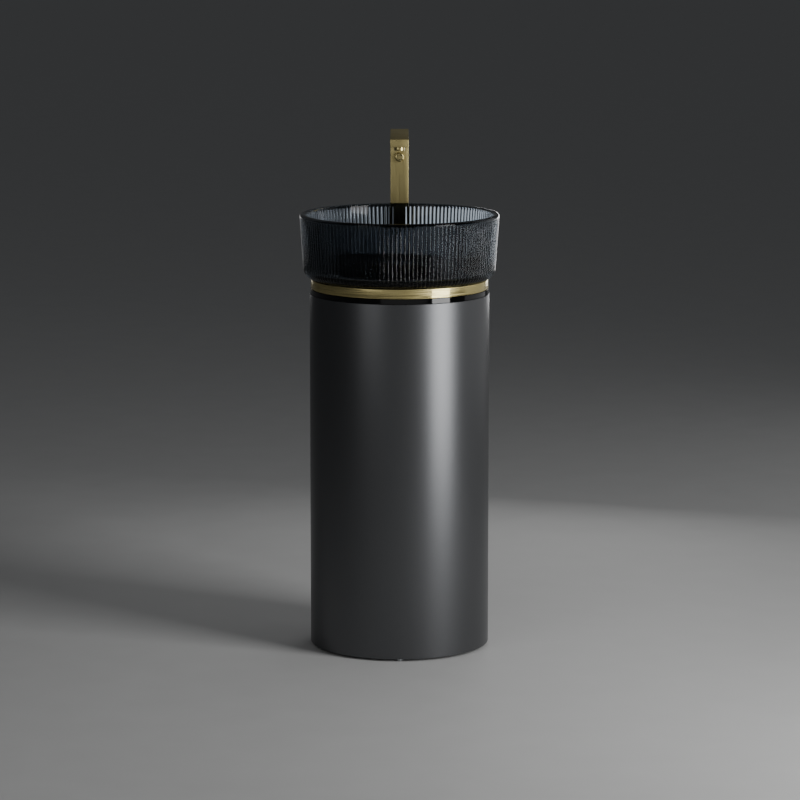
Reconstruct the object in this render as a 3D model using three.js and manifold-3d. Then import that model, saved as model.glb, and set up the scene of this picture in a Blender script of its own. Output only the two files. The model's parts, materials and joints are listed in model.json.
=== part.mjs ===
// Column washbasin: a round metal column that hides the plumbing, a smoked glass vessel on a
// gold collar, and a flat-bar tap that stands behind the glass on a small rear console.
// Millimetres, +Z up. The origin is on the floor, in the middle of the plan.
import * as THREE from "three";
import { mergeVertices } from "three/addons/utils/BufferGeometryUtils.js";
import Module from "manifold-3d";

const wasm = await Module();
wasm.setup();

// ---------------------------------------------------------------- driving dimensions
const AXIS_Y = -23.5; // the column's axis, from the middle of the plan
const GAP = 0.3; // clearance between pieces that touch
const BIG = 48; // sides of the large round pieces
const MEDIUM = 16; // sides of pipes and fittings
const ROD_SIDES = 12; // sides of posts, valves and their nuts
const SMALL = 8; // sides of screws and studs

const COLUMN_RADIUS = 185;
const COLUMN_WALL = 3;
const COLUMN_BOTTOM = 5; // shadow gap over the floor
const COLUMN_TOP = 735.5;

const BASE_BOTTOM = 10;
const BASE_TOP = 18;
const SERVICE_RADIUS = 125; // opening in the base for the pipes of the house
const FOOT_CIRCLE = 170;
const STUD_RADIUS = 4; // M8 feet and post screws
const STUD_HOLE = 4.7; // free turning clearance round a foot's stud
const STUD_TOP = 34;
const FOOT_PAD = { radius: 7, thickness: 4, edge: 0.7 };
const POST_CIRCLE = 140;
const POST_RADIUS = 9;
const POST_BORE_END = 695; // foot of the tapped hole in a post's head
const SCREW_TIP = 705;
const POST_ANGLES = { front: 270, right: 30, left: 150 };
const FOOT_ANGLES = { front: 270, right: 0, back: 90, left: 180 };

const PANEL_HALF_WIDTH = 105;
const PANEL_BOTTOM = 121;
const PANEL_TOP = 639;
const PANEL_SEAM = 1; // open joint round the panel
const HOOK_HALF_WIDTH = 60;
const HOOK_BOTTOM = 105; // the hook reaches behind the wall under the opening
const HOOK_TOP = 141;
const PANEL_SCREW_ANGLE = 32; // from straight back, to either side
const PANEL_SCREW_HEIGHT = 612;

const PLATE_RADIUS = 183;
const PLATE_BOTTOM = 736;
const PLATE_TOP = 746;
const PLATE_HOLE = 60;
const TONGUE_HALF_WIDTH = 38;
const TONGUE_END = 252;

const CONSOLE_HALF_WIDTH = 36;
const CONSOLE_FRONT = 160; // inside the column's outline, so the wall's own curve ends it
const CONSOLE_BACK = 250;
const CONSOLE_BOTTOM = 672;
const CONSOLE_WALL = 2.5;
const HOSE_WINDOW = { halfWidth: 28, bottom: 678, top: 726 };

const COLLAR_RADIUS = 182;
const COLLAR_INNER = 158;
const COLLAR_BOTTOM = 746.6;
const COLLAR_TOP = 765.6;

const BASIN_BOTTOM = 767;
const RIM_HEIGHT = 900;
const RIM_RADIUS = 205;
const RIM_ROUND = 5;
const GLASS_WALL = 12.5;
const CORNER = { radius: 177.5, round: 20 }; // outer bottom corner of the glass
const INNER_ROUND = 14;
const BASIN_FLOOR = 779; // at the foot of the wall
const DRAIN_LAND = 777; // round the outlet, a little lower
const DRAIN_HOLE = 23;
const DRAIN_THREAD = 20.9;
const DRAIN_END = 700;

const TRAP_OUTLET_HEIGHT = 632;
const PIPE_RADIUS = 16;
const PIPE_BORE = 14.5;
const PIPE_FIT = 0.7; // clearance of a pipe in its sockets and nuts
const WASTE_X = -100;
const WASTE_END = 12;

const VALVE_X = 45;
const VALVE_Y = 104;
const SHELF_TOP = 61;
const SPINDLE_HEIGHT = 84;
const SPINDLE_RADIUS = 3.5;
const VALVE_THREAD = 10.5; // radius of the inlet thread, G1/2
const VALVE_OUTLET = 9.7; // radius of the outlet thread
const VALVE_BOTTOM = 36;
const VALVE_TOP = 112;
const HOSE_NUT_BOTTOM = 103;
const HOSE_RADIUS = 3.2;

const TAP_Y = 234;
const BAR_WIDTH = 38;
const PILLAR_DEPTH = 24;
const PILLAR_WALL = 3;
const PILLAR_BOTTOM = 748;
const SPOUT_BOTTOM = 1036;
const SPOUT_TOP = 1052;
const SPOUT_FRONT = -5;
const OUTLET_Y = 13;
const KNOB_HEIGHT = 995;
const SHANK_RADIUS = 8.7;
const CARTRIDGE_RADIUS = 8;
const SPINDLE_OF_KNOB = 3;
const OUTLET_BORE = 8; // radius of the hole under the spout
const WATERWAY_HALF_WIDTH = 10;
const AERATOR = { outer: 11, inner: 9 };

// ---------------------------------------------------------------- finishes
const FINISHES = {
  anthracite: { color: "#4a4b4d", roughness: 0.42, metalness: 0.85 },
  blackGloss: { color: "#070707", roughness: 0.08, metalness: 0.1 },
  gold: { color: "#b39d5f", roughness: 0.28, metalness: 1 },
  smokedGlass: { color: "#1b1e22", roughness: 0.08, metalness: 0, transparent: true, opacity: 0.75 },
  zinc: { color: "#a9adb0", roughness: 0.4, metalness: 1 },
  chrome: { color: "#c9ccce", roughness: 0.12, metalness: 1 },
  whitePlastic: { color: "#d9dad8", roughness: 0.5, metalness: 0 },
  rubber: { color: "#161616", roughness: 0.85, metalness: 0 },
  brass: { color: "#a88a4c", roughness: 0.45, metalness: 1 },
  blueLever: { color: "#2b5f9e", roughness: 0.5, metalness: 0 },
  redLever: { color: "#a5302a", roughness: 0.5, metalness: 0 },
  braid: { color: "#9a9d9f", roughness: 0.5, metalness: 0.8 },
};

// ---------------------------------------------------------------- geometry helpers
const radians = (degrees) => (degrees * Math.PI) / 180;

// Points of an arc about (x, y), both ends included.
function arc(x, y, radius, from, to, steps) {
  return Array.from({ length: steps + 1 }, (_, i) => {
    const angle = radians(from + ((to - from) * i) / steps);
    return new THREE.Vector2(x + radius * Math.cos(angle), y + radius * Math.sin(angle));
  });
}

function circle(radius, sides, x = 0, y = 0) {
  return arc(x, y, radius, 0, 360, sides).slice(0, -1);
}

// A flat plate: an outline with holes, its underside at z = 0.
function plate(outline, holes, thickness) {
  const shape = new THREE.Shape(outline);
  shape.holes = holes.map((hole) => new THREE.Path(hole));
  return new THREE.ExtrudeGeometry(shape, { depth: thickness, bevelEnabled: false });
}

// A body of revolution about Z from [radius, height] points, outside on the right hand.
function turned(profile, sides) {
  const points = profile.map(([r, z]) => new THREE.Vector2(r, z));
  return new THREE.LatheGeometry(points, sides).rotateX(Math.PI / 2);
}

// A ring of rectangular section.
function ring(inner, outer, bottom, top, sides) {
  return turned([[inner, bottom], [outer, bottom], [outer, top], [inner, top], [inner, bottom]], sides);
}

function rod(radius, bottom, top, sides) {
  return turned([[0, bottom], [radius, bottom], [radius, top], [0, top]], sides);
}

// A box between two corners.
function block(x0, x1, y0, y1, z0, z1) {
  const geometry = new THREE.BoxGeometry(x1 - x0, y1 - y0, z1 - z0);
  return geometry.translate((x0 + x1) / 2, (y0 + y1) / 2, (z0 + z1) / 2);
}

function nut(cornerRadius, bore, thickness) {
  return plate(circle(cornerRadius, 6), [circle(bore, MEDIUM)], thickness);
}

// A closed mesh as a manifold solid.
function solid(source) {
  const geometry = source.clone();
  geometry.deleteAttribute("normal");
  geometry.deleteAttribute("uv");
  const merged = mergeVertices(geometry, 1e-3);
  const corners = merged.index.array;
  const kept = [];
  for (let i = 0; i < corners.length; i += 3) {
    const [a, b, c] = corners.slice(i, i + 3);
    if (a !== b && b !== c && c !== a) kept.push(a, b, c);
  }
  const vertProperties = new Float32Array(merged.attributes.position.array);
  const triVerts = new Uint32Array(kept);
  return new wasm.Manifold(new wasm.Mesh({ numProp: 3, vertProperties, triVerts }));
}

function surface(manifold) {
  const mesh = manifold.getMesh();
  const geometry = new THREE.BufferGeometry();
  geometry.setAttribute("position", new THREE.BufferAttribute(new Float32Array(mesh.vertProperties), 3));
  geometry.setIndex(new THREE.BufferAttribute(new Uint32Array(mesh.triVerts), 1));
  return geometry;
}

function cut(body, ...tools) {
  return surface(tools.reduce((left, tool) => left.subtract(solid(tool)), solid(body)));
}

function joined(...bodies) {
  return surface(bodies.slice(1).reduce((sum, body) => sum.add(solid(body)), solid(bodies[0])));
}

function shared(a, b) {
  return surface(solid(a).intersect(solid(b)));
}

// ---------------------------------------------------------------- scene helpers
const sink = new THREE.Group();
const onAxis = new THREE.Group(); // everything is placed from the column's axis
onAxis.position.set(0, AXIS_Y, 0);
sink.add(onAxis);

function piece(name, geometry, finish, parent = onAxis) {
  const material = new THREE.MeshStandardMaterial({ ...FINISHES[finish] });
  material.flatShading = true;
  const mesh = new THREE.Mesh(geometry, material);
  mesh.name = name;
  parent.add(mesh);
  return mesh;
}

// Puts a piece on a circle round the column's axis, at an angle from +X.
function onCircle(mesh, radius, degrees, z = 0) {
  const angle = radians(degrees);
  mesh.position.set(radius * Math.cos(angle), radius * Math.sin(angle), z);
  mesh.rotation.z = angle;
  return mesh;
}

function polar(radius, degrees) {
  return [radius * Math.cos(radians(degrees)), radius * Math.sin(radians(degrees))];
}

// ---------------------------------------------------------------- base and frame
// The clearance holes for the spigots and screws of the frame posts.
function postHoles() {
  const centres = Object.values(POST_ANGLES).map((angle) => polar(POST_CIRCLE, angle));
  return centres.map(([x, y]) => circle(STUD_RADIUS + GAP, SMALL, x, y));
}

function basePlate() {
  const studs = Object.values(FOOT_ANGLES).map((a) => circle(STUD_HOLE, 10, ...polar(FOOT_CIRCLE, a)));
  const edge = COLUMN_RADIUS - COLUMN_WALL - 2 * GAP;
  const holes = [circle(SERVICE_RADIUS, BIG), ...studs, ...postHoles()];
  return plate(circle(edge, BIG), holes, BASE_TOP - BASE_BOTTOM).translate(0, 0, BASE_BOTTOM);
}

// A glide on a threaded stud that screws up and down through the base.
function levellingFoot() {
  const { radius, thickness, edge } = FOOT_PAD;
  const pad = [[0, 0], [radius - edge, 0], [radius, edge], [radius, thickness]];
  const stud = [[STUD_RADIUS, thickness], [STUD_RADIUS, STUD_TOP], [0, STUD_TOP]];
  return turned([...pad, ...stud], SMALL);
}

// A rod with a threaded spigot in the base and a tapped hole in its head.
function framePost() {
  const foot = BASE_TOP + GAP;
  const head = PLATE_BOTTOM - GAP;
  const tip = BASE_BOTTOM + 1;
  const bore = STUD_RADIUS + GAP;
  const spigot = [[0, tip], [STUD_RADIUS, tip], [STUD_RADIUS, foot], [POST_RADIUS, foot]];
  const upper = [[POST_RADIUS, head], [bore, head], [bore, POST_BORE_END], [0, POST_BORE_END]];
  return turned([...spigot, ...upper], ROD_SIDES);
}

// A socket cap screw through the top plate into a post.
function postScrew() {
  const seat = PLATE_TOP + GAP;
  const top = seat + 8;
  const [headRadius, socket] = [6.5, 3];
  const shank = [[0, SCREW_TIP], [STUD_RADIUS, SCREW_TIP], [STUD_RADIUS, seat]];
  const head = [[headRadius, seat], [headRadius, top], [socket, top], [socket, top - 4], [0, top - 4]];
  return turned([...shank, ...head], SMALL);
}

function buildBase() {
  piece("base_plate", basePlate(), "zinc");
  for (const [side, angle] of Object.entries(FOOT_ANGLES)) {
    onCircle(piece(`levelling_foot_${side}`, levellingFoot(), "zinc"), FOOT_CIRCLE, angle);
    const lock = piece(`foot_lock_nut_${side}`, nut(7.5, STUD_HOLE, 6), "zinc");
    onCircle(lock, FOOT_CIRCLE, angle, BASE_TOP + GAP);
  }
  for (const [side, angle] of Object.entries(POST_ANGLES)) {
    onCircle(piece(`frame_post_${side}`, framePost(), "zinc"), POST_CIRCLE, angle);
    onCircle(piece(`post_screw_${side}`, postScrew(), "zinc"), POST_CIRCLE, angle);
  }
}

// ---------------------------------------------------------------- column
// The rolled wall, with a narrow lip inside that sits on the base.
function columnWall() {
  const outer = COLUMN_RADIUS;
  const inner = COLUMN_RADIUS - COLUMN_WALL;
  const lip = inner - 3.5;
  const chamfer = 1;
  const lipBottom = BASE_TOP + GAP;
  const lipTop = lipBottom + 3;
  return turned([
    [inner, COLUMN_BOTTOM],
    [outer - chamfer, COLUMN_BOTTOM],
    [outer, COLUMN_BOTTOM + chamfer],
    [outer, COLUMN_TOP - chamfer],
    [outer - chamfer, COLUMN_TOP],
    [inner, COLUMN_TOP],
    [inner, lipTop],
    [lip, lipTop],
    [lip, lipBottom],
    [inner, lipBottom],
    [inner, COLUMN_BOTTOM],
  ], BIG);
}

// A block through the back of the wall.
function rearBlock(x0, x1, bottom, top) {
  return block(x0, x1, COLUMN_RADIUS / 3, COLUMN_RADIUS + 15, bottom, top);
}

function columnShell() {
  const half = PANEL_HALF_WIDTH + PANEL_SEAM;
  const opening = rearBlock(-half, half, PANEL_BOTTOM - PANEL_SEAM, PANEL_TOP + PANEL_SEAM);
  const { halfWidth, bottom, top } = HOSE_WINDOW;
  const window = rearBlock(-halfWidth, halfWidth, bottom, top);
  return cut(columnWall(), opening, window);
}

// A radial drill at the place of a panel screw, to one side of straight back.
function panelScrewDrill(side) {
  const drill = rod(2.5, COLUMN_RADIUS - 30, COLUMN_RADIUS + 15, SMALL).rotateY(Math.PI / 2);
  return drill.rotateZ(radians(90 - side * PANEL_SCREW_ANGLE)).translate(0, 0, PANEL_SCREW_HEIGHT);
}

// The rear cover: it hooks behind the wall at its foot and takes a screw at each top corner.
function accessPanel() {
  const inner = COLUMN_RADIUS - COLUMN_WALL;
  const wall = ring(inner, COLUMN_RADIUS, 0, COLUMN_TOP, BIG);
  const sheet = shared(wall, rearBlock(-PANEL_HALF_WIDTH, PANEL_HALF_WIDTH, PANEL_BOTTOM, PANEL_TOP));
  const hookRing = ring(inner - COLUMN_WALL, inner + 0.5, 0, COLUMN_TOP, BIG);
  const hookFoot = shared(hookRing, rearBlock(-HOOK_HALF_WIDTH, HOOK_HALF_WIDTH, PANEL_BOTTOM + 1, HOOK_TOP));
  const tongueRing = ring(inner - COLUMN_WALL, inner - GAP, 0, COLUMN_TOP, BIG);
  const tongueSpan = rearBlock(-HOOK_HALF_WIDTH, HOOK_HALF_WIDTH, HOOK_BOTTOM, PANEL_BOTTOM + 8);
  const tongue = shared(tongueRing, tongueSpan);
  const drills = [-1, 1].map((side) => panelScrewDrill(side));
  return cut(joined(sheet, hookFoot, tongue), ...drills);
}

// A strip behind each upright edge of the rear opening, bonded to the wall.
function panelStrap(side) {
  const inner = COLUMN_RADIUS - COLUMN_WALL;
  const strip = ring(inner - COLUMN_WALL - GAP, inner - GAP, PANEL_BOTTOM + 30, PANEL_TOP - 10, BIG);
  const edges = [side * (PANEL_HALF_WIDTH - 17), side * (PANEL_HALF_WIDTH + 13)];
  const span = rearBlock(Math.min(...edges), Math.max(...edges), 0, COLUMN_TOP);
  return cut(shared(strip, span), panelScrewDrill(side));
}

// A pan head screw along +X, its head outside the wall.
function panelScrew() {
  const seat = COLUMN_RADIUS + GAP;
  const [radius, tip, headRadius] = [2.2, seat - 11.3, 4.5];
  const shank = [[0, tip], [radius, tip], [radius, seat]];
  const head = [[headRadius, seat], [headRadius, seat + 1.6], [2.6, seat + 2.6], [0, seat + 2.6]];
  return turned([...shank, ...head], SMALL).rotateY(Math.PI / 2);
}

function buildColumn() {
  piece("column_shell", columnShell(), "anthracite");
  piece("access_panel", accessPanel(), "anthracite");
  for (const [name, side] of [["left", -1], ["right", 1]]) {
    piece(`panel_strap_${name}`, panelStrap(side), "zinc");
    const screw = piece(`panel_screw_${name}`, panelScrew(), "anthracite");
    screw.rotation.z = radians(90 - side * PANEL_SCREW_ANGLE);
    screw.position.z = PANEL_SCREW_HEIGHT;
  }
}

// ---------------------------------------------------------------- top plate and rear console
// A disc with a tongue at the back that carries the tap.
function topPlate() {
  const foot = Math.sqrt(PLATE_RADIUS ** 2 - TONGUE_HALF_WIDTH ** 2);
  const meet = 90 - (Math.asin(TONGUE_HALF_WIDTH / PLATE_RADIUS) * 180) / Math.PI;
  const round = 8;
  const [side, end] = [TONGUE_HALF_WIDTH - round, TONGUE_END - round];
  const outline = [
    ...arc(0, 0, PLATE_RADIUS, 180 - meet, 360 + meet, BIG),
    ...arc(side, end, round, 0, 90, 3),
    ...arc(-side, end, round, 90, 180, 3),
  ];
  outline[0].set(-TONGUE_HALF_WIDTH, foot);
  const shankHole = circle(SHANK_RADIUS + GAP, MEDIUM, 0, TAP_Y);
  const holes = [circle(PLATE_HOLE, BIG / 2), shankHole, ...postHoles()];
  return plate(outline, holes, PLATE_TOP - PLATE_BOTTOM).translate(0, 0, PLATE_BOTTOM);
}

// A folded box behind the column, open to the column and under the tongue.
function tapConsole() {
  const top = PLATE_BOTTOM - GAP;
  const [half, wall] = [CONSOLE_HALF_WIDTH, CONSOLE_WALL];
  const outside = block(-half, half, CONSOLE_FRONT, CONSOLE_BACK, CONSOLE_BOTTOM, top);
  const front = CONSOLE_FRONT - 10;
  const inside = block(wall - half, half - wall, front, CONSOLE_BACK - wall, CONSOLE_BOTTOM + wall, top + 5);
  const column = rod(COLUMN_RADIUS + GAP, CONSOLE_BOTTOM - 5, top + 5, BIG);
  return cut(outside, inside, column);
}

function goldCollar() {
  const edge = 0.8;
  return turned([
    [COLLAR_INNER, COLLAR_BOTTOM],
    [COLLAR_RADIUS - edge, COLLAR_BOTTOM],
    [COLLAR_RADIUS, COLLAR_BOTTOM + edge],
    [COLLAR_RADIUS, COLLAR_TOP - edge],
    [COLLAR_RADIUS - edge, COLLAR_TOP],
    [COLLAR_INNER, COLLAR_TOP],
    [COLLAR_INNER, COLLAR_BOTTOM],
  ], BIG);
}

// ---------------------------------------------------------------- glass basin
// One thick-walled vessel: flat foot, rounded bottom corner, slightly flared wall, rounded lip.
function glassBasin() {
  const cornerZ = BASIN_BOTTOM + CORNER.round;
  const wallFoot = CORNER.radius + CORNER.round;
  const innerFoot = wallFoot - GLASS_WALL;
  const innerRim = RIM_RADIUS - GLASS_WALL;
  const lipZ = RIM_HEIGHT - RIM_ROUND;
  const outline = [
    new THREE.Vector2(DRAIN_HOLE, BASIN_BOTTOM),
    ...arc(CORNER.radius, cornerZ, CORNER.round, -90, 0, 4),
    ...arc(RIM_RADIUS - RIM_ROUND, lipZ, RIM_ROUND, 0, 90, 2),
    ...arc(innerRim + RIM_ROUND, lipZ, RIM_ROUND, 90, 180, 2),
    ...arc(innerFoot - INNER_ROUND, BASIN_FLOOR + INNER_ROUND, INNER_ROUND, 0, -90, 3),
    new THREE.Vector2(36, DRAIN_LAND),
    new THREE.Vector2(DRAIN_HOLE, DRAIN_LAND),
    new THREE.Vector2(DRAIN_HOLE, BASIN_BOTTOM),
  ];
  return turned(outline.map((p) => [p.x, p.y]), BIG);
}

function buildTop() {
  piece("top_plate", topPlate(), "blackGloss");
  piece("tap_console", tapConsole(), "anthracite");
  piece("gold_collar", goldCollar(), "gold");
  const gasket = ring(COLLAR_INNER + 4, CORNER.radius - 2, COLLAR_TOP + GAP, BASIN_BOTTOM - GAP, BIG);
  piece("basin_gasket", gasket, "rubber");
  piece("glass_basin", glassBasin(), "smokedGlass");
}

// ---------------------------------------------------------------- push-button waste
const FLANGE_BOTTOM = DRAIN_LAND + 1.6;
const FLANGE_TOP = FLANGE_BOTTOM + 3;
const PLUG_TRAVEL = 8;
const DRAIN_BORE = 17.8;
const FLANGE_RADIUS = 33;
const PLUG_RADIUS = 31;
const STEM = { radius: 3, bottom: 737 };

function drainBody() {
  return turned([
    [DRAIN_BORE, DRAIN_END],
    [DRAIN_THREAD, DRAIN_END],
    [DRAIN_THREAD, FLANGE_BOTTOM],
    [FLANGE_RADIUS, FLANGE_BOTTOM],
    [FLANGE_RADIUS, FLANGE_TOP - 1.2],
    [FLANGE_RADIUS - 2, FLANGE_TOP],
    [24, FLANGE_TOP],
    [DRAIN_BORE, FLANGE_TOP - 2],
    [DRAIN_BORE, DRAIN_END],
  ], MEDIUM);
}

// The ratchet cartridge that carries the plug: a hub on four arms in a ring.
function clickInsert() {
  const [hub, rim, halfArm] = [6, 14.5, 9];
  const windows = [0, 90, 180, 270].map((start) => [
    ...arc(0, 0, rim, start + halfArm, start + 90 - halfArm, 4),
    ...arc(0, 0, hub, start + 90 - 2 * halfArm, start + 2 * halfArm, 2),
  ]);
  const bore = circle(STEM.radius + GAP, SMALL);
  const cartridge = plate(circle(DRAIN_BORE - GAP, MEDIUM), [...windows, bore], 14);
  return cartridge.translate(0, 0, STEM.bottom + 5);
}

// A domed cap on a stem, raised here to its open height.
function drainPlug() {
  const seat = FLANGE_TOP + GAP + PLUG_TRAVEL;
  return turned([
    [0, STEM.bottom],
    [STEM.radius, STEM.bottom],
    [STEM.radius, seat],
    [PLUG_RADIUS - 2, seat],
    [PLUG_RADIUS, seat + 1.5],
    [PLUG_RADIUS, seat + 3.5],
    [PLUG_RADIUS - 3, seat + 5],
    [16, seat + 6],
    [0, seat + 6.4],
  ], MEDIUM);
}

function buildDrain() {
  const upper = ring(DRAIN_THREAD + 2.6, 32, DRAIN_LAND + GAP, FLANGE_BOTTOM - GAP, MEDIUM);
  piece("drain_seal_upper", upper, "rubber");
  piece("drain_body", drainBody(), "gold");
  const lowerTop = BASIN_BOTTOM - GAP;
  const lower = ring(DRAIN_THREAD + GAP, 34, lowerTop - 4, lowerTop, MEDIUM);
  piece("drain_seal_lower", lower, "rubber");
  piece("drain_nut", nut(33, DRAIN_THREAD + GAP, 10), "brass").position.z = lowerTop - 14 - GAP;
  piece("click_insert", clickInsert(), "brass");
  piece("drain_plug", drainPlug(), "gold");
}

// ---------------------------------------------------------------- bottle trap and waste
const TRAP_RADIUS = 30;
const TRAP_WALL = 2.5;
const TRAP_BODY_BOTTOM = 600;
const STUB_RADIUS = 19;
const STUB_END = -50;
const OUTLET_NUT = { outer: -62, inner: -40, radius: 24.5 };
const SOCKET = { bottom: 560, top: 582 }; // head of the waste pipe

// The coupling nut that clamps the dip tube under the waste.
function inletNut() {
  const step = DRAIN_END - GAP;
  const [bottom, top] = [DRAIN_END - 20, DRAIN_END + 6];
  const [bore, thread] = [PIPE_RADIUS + PIPE_FIT, DRAIN_THREAD + GAP];
  const sleeve = [[bore, bottom], [24, bottom], [27, bottom + 4], [27, top]];
  return turned([...sleeve, [thread, top], [thread, step], [bore, step], [bore, bottom]], MEDIUM);
}

// The head of the trap, with its neck on top and the outlet stub on the left.
function trapBody() {
  const [top, neckTop] = [655, 672];
  const outside = turned([
    [0, TRAP_BODY_BOTTOM],
    [TRAP_RADIUS, TRAP_BODY_BOTTOM],
    [TRAP_RADIUS, top],
    [STUB_RADIUS, top],
    [STUB_RADIUS, neckTop],
    [0, neckTop],
  ], MEDIUM);
  const along = (geometry) => geometry.rotateY(Math.PI / 2).translate(0, 0, TRAP_OUTLET_HEIGHT);
  const stub = along(rod(STUB_RADIUS, STUB_END, 0, MEDIUM));
  const chamber = rod(TRAP_RADIUS - TRAP_WALL, TRAP_BODY_BOTTOM - 5, top - TRAP_WALL, MEDIUM);
  const neck = rod(PIPE_RADIUS + PIPE_FIT, top - 10, neckTop + 5, MEDIUM);
  const bore = along(rod(PIPE_RADIUS + PIPE_FIT, STUB_END - 5, 0, MEDIUM));
  return cut(joined(outside, stub), chamber, neck, bore);
}

// The cup that unscrews from the trap for cleaning.
function trapCup() {
  const inner = TRAP_RADIUS - TRAP_WALL;
  const step = TRAP_BODY_BOTTOM - GAP;
  const [bottom, skirt, mouth] = [498, 586, 611];
  return turned([
    [0, bottom],
    [24, bottom],
    [TRAP_RADIUS, bottom + 6],
    [TRAP_RADIUS, skirt],
    [TRAP_RADIUS + 4, skirt + 3],
    [TRAP_RADIUS + 4, mouth],
    [TRAP_RADIUS + GAP, mouth],
    [TRAP_RADIUS + GAP, step],
    [inner, step],
    [inner, bottom + 8],
    [22, bottom + 3],
    [0, bottom + 3],
  ], MEDIUM);
}

// The slip nut on the outlet stub, turned about the stub's axis and laid along X.
function outletNut() {
  const { outer, inner, radius } = OUTLET_NUT;
  const [bore, thread] = [PIPE_RADIUS + PIPE_FIT, STUB_RADIUS + GAP];
  const body = turned([
    [bore, outer],
    [radius - 3.5, outer],
    [radius, outer + 4],
    [radius, inner],
    [thread, inner],
    [thread, STUB_END - GAP],
    [bore, STUB_END - GAP],
    [bore, outer],
  ], MEDIUM);
  return body.rotateY(Math.PI / 2).translate(0, 0, TRAP_OUTLET_HEIGHT);
}

// A tube from the outlet stub that turns down towards the floor.
function outletBend() {
  const turn = 36;
  const [start, end] = [STUB_END + 16, SOCKET.bottom + 6];
  const path = new THREE.CurvePath();
  const corner = new THREE.Vector3(WASTE_X, 0, TRAP_OUTLET_HEIGHT);
  const bendStart = new THREE.Vector3(WASTE_X + turn, 0, TRAP_OUTLET_HEIGHT);
  const bendEnd = new THREE.Vector3(WASTE_X, 0, TRAP_OUTLET_HEIGHT - turn);
  path.add(new THREE.LineCurve3(new THREE.Vector3(start, 0, TRAP_OUTLET_HEIGHT), bendStart));
  path.add(new THREE.QuadraticBezierCurve3(bendStart, corner, bendEnd));
  path.add(new THREE.LineCurve3(bendEnd, new THREE.Vector3(WASTE_X, 0, end)));
  const section = new THREE.Shape(circle(PIPE_RADIUS, ROD_SIDES));
  section.holes.push(new THREE.Path(circle(PIPE_BORE, ROD_SIDES)));
  return new THREE.ExtrudeGeometry(section, { steps: 10, extrudePath: path });
}

// The straight waste pipe: a socket at its head, its open end just over the floor.
function wastePipe() {
  return turned([
    [PIPE_BORE, WASTE_END],
    [PIPE_RADIUS, WASTE_END],
    [PIPE_RADIUS, SOCKET.bottom - 4],
    [PIPE_RADIUS + 3, SOCKET.bottom],
    [PIPE_RADIUS + 3, SOCKET.top],
    [PIPE_RADIUS + PIPE_FIT, SOCKET.top],
    [PIPE_RADIUS + PIPE_FIT, SOCKET.bottom + 2],
    [PIPE_BORE, SOCKET.bottom + 2],
    [PIPE_BORE, WASTE_END],
  ], MEDIUM);
}

function buildTrap() {
  piece("trap_inlet_nut", inletNut(), "chrome");
  const dipTube = ring(PIPE_BORE, PIPE_RADIUS, TRAP_BODY_BOTTOM - 60, DRAIN_END + 12, MEDIUM);
  piece("dip_tube", dipTube, "chrome");
  piece("trap_body", trapBody(), "chrome");
  piece("trap_cup", trapCup(), "chrome");
  piece("trap_outlet_nut", outletNut(), "chrome");
  piece("trap_outlet_bend", outletBend(), "chrome");
  piece("waste_pipe", wastePipe(), "whitePlastic").position.x = WASTE_X;
}

// ---------------------------------------------------------------- supply valves and hoses
// A folded steel strip: foot on the base, riser, and a shelf with two holes.
function valveBracket() {
  const t = 3;
  const width = 140;
  const [front, riser, back] = [82, 130, 161];
  const [foot, shelf] = [BASE_TOP + GAP, SHELF_TOP];
  const section = [
    [riser, foot], [back, foot], [back, foot + t], [riser + t, foot + t],
    [riser + t, shelf], [front, shelf], [front, shelf - t], [riser, shelf - t],
  ].map(([y, z]) => new THREE.Vector2(y, z));
  const strip = new THREE.ExtrudeGeometry(new THREE.Shape(section), { depth: width, bevelEnabled: false });
  strip.translate(0, 0, -width / 2).rotateY(Math.PI / 2).rotateX(Math.PI / 2);
  const holes = [-1, 1].map((side) => {
    const hole = rod(VALVE_THREAD + GAP, shelf - 10, shelf + 10, MEDIUM);
    return hole.translate(side * VALVE_X, VALVE_Y, 0);
  });
  return cut(strip, ...holes);
}

// A straight stop valve, flow upwards, with its spindle boss facing the rear opening.
function stopValve() {
  const seat = SHELF_TOP + GAP;
  const [collar, body, shoulder] = [15, 12, VALVE_TOP - 12];
  const outside = turned([
    [0, VALVE_BOTTOM],
    [VALVE_THREAD, VALVE_BOTTOM],
    [VALVE_THREAD, seat],
    [collar, seat],
    [collar, seat + 6],
    [body, seat + 6],
    [body, shoulder],
    [VALVE_OUTLET, shoulder],
    [VALVE_OUTLET, VALVE_TOP],
    [0, VALVE_TOP],
  ], ROD_SIDES);
  const towardsBack = (geometry) => geometry.rotateX(-Math.PI / 2).translate(0, 0, SPINDLE_HEIGHT);
  const boss = towardsBack(rod(8.5, 0, 20, ROD_SIDES));
  const way = rod(6, VALVE_BOTTOM - 6, VALVE_TOP + 8, SMALL);
  const spindleHole = towardsBack(rod(SPINDLE_RADIUS + GAP, 10, 25, SMALL));
  return cut(joined(outside, boss), way, spindleHole);
}

// A quarter-turn lever about the spindle: it points along the pipe when the valve is open.
function valveHandle() {
  const spindle = rod(SPINDLE_RADIUS, 12, 24, SMALL).rotateX(-Math.PI / 2);
  const hub = rod(9, 20 + GAP, 30, ROD_SIDES).rotateX(-Math.PI / 2);
  const lever = block(-6, 6, 25, 30, 0, 40);
  return joined(spindle, hub, lever);
}

// The swivel nut that holds a hose on its valve.
function hoseNut() {
  const [bore, neck] = [VALVE_OUTLET + GAP, HOSE_RADIUS + GAP];
  const [bottom, seat, top] = [HOSE_NUT_BOTTOM, VALVE_TOP + GAP, HOSE_NUT_BOTTOM + 16];
  const outside = [[bore, bottom], [13, bottom], [13, top - 4], [8, top]];
  return turned([...outside, [neck, top], [neck, seat], [bore, seat], [bore, bottom]], ROD_SIDES);
}

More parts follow.
